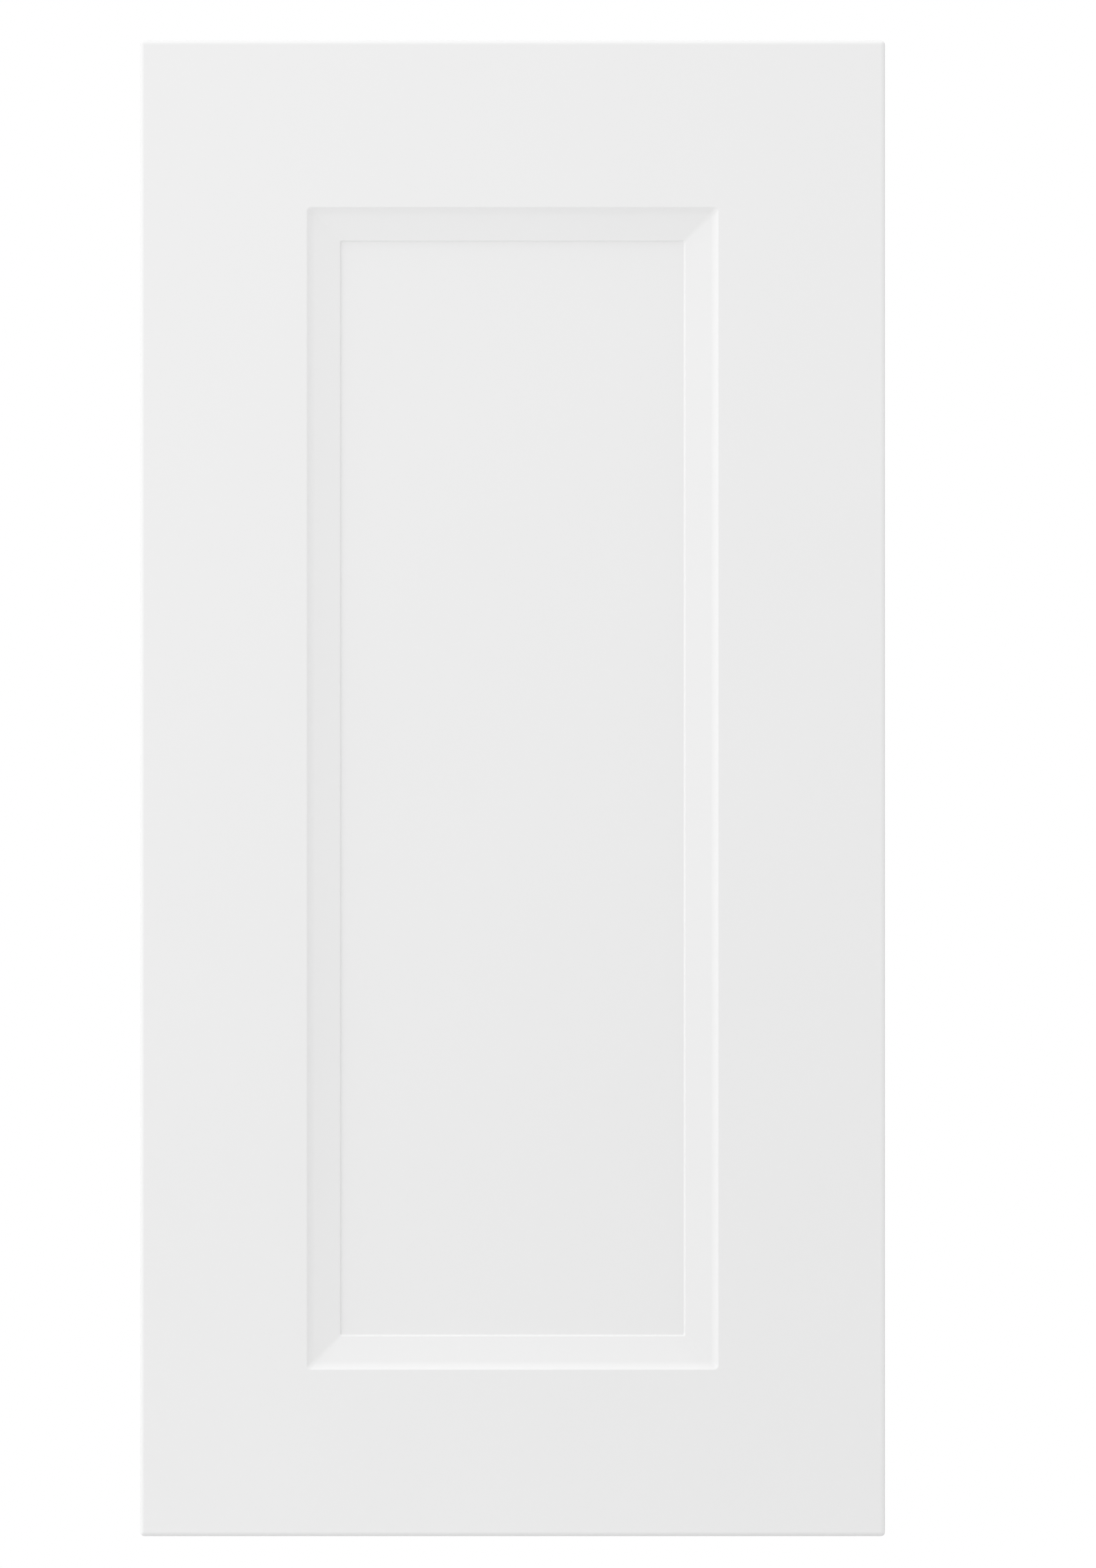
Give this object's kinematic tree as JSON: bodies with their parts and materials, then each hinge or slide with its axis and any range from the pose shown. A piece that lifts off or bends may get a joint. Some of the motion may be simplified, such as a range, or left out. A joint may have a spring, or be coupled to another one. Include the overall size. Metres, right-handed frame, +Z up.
{
  "type": "kitchen cabinet door",
  "caption": "White kitchen cabinet door routed from a single board: flat frame, coved and bevelled moulding, sunk flat panel, and hinge cup bores in the plain back.",
  "frame": {"origin": "middle of the back face", "axes": "+Z up the door, +X to the right seen from the front, -Y the way the front looks, +Y out of the back towards the cabinet"},
  "size_m": [0.397, 0.019, 0.797],
  "materials": {
    "board_white_matt": "matte"
  },
  "bodies": {
    "root": {"door_board": "board_white_matt"}
  },
  "joints": []
}
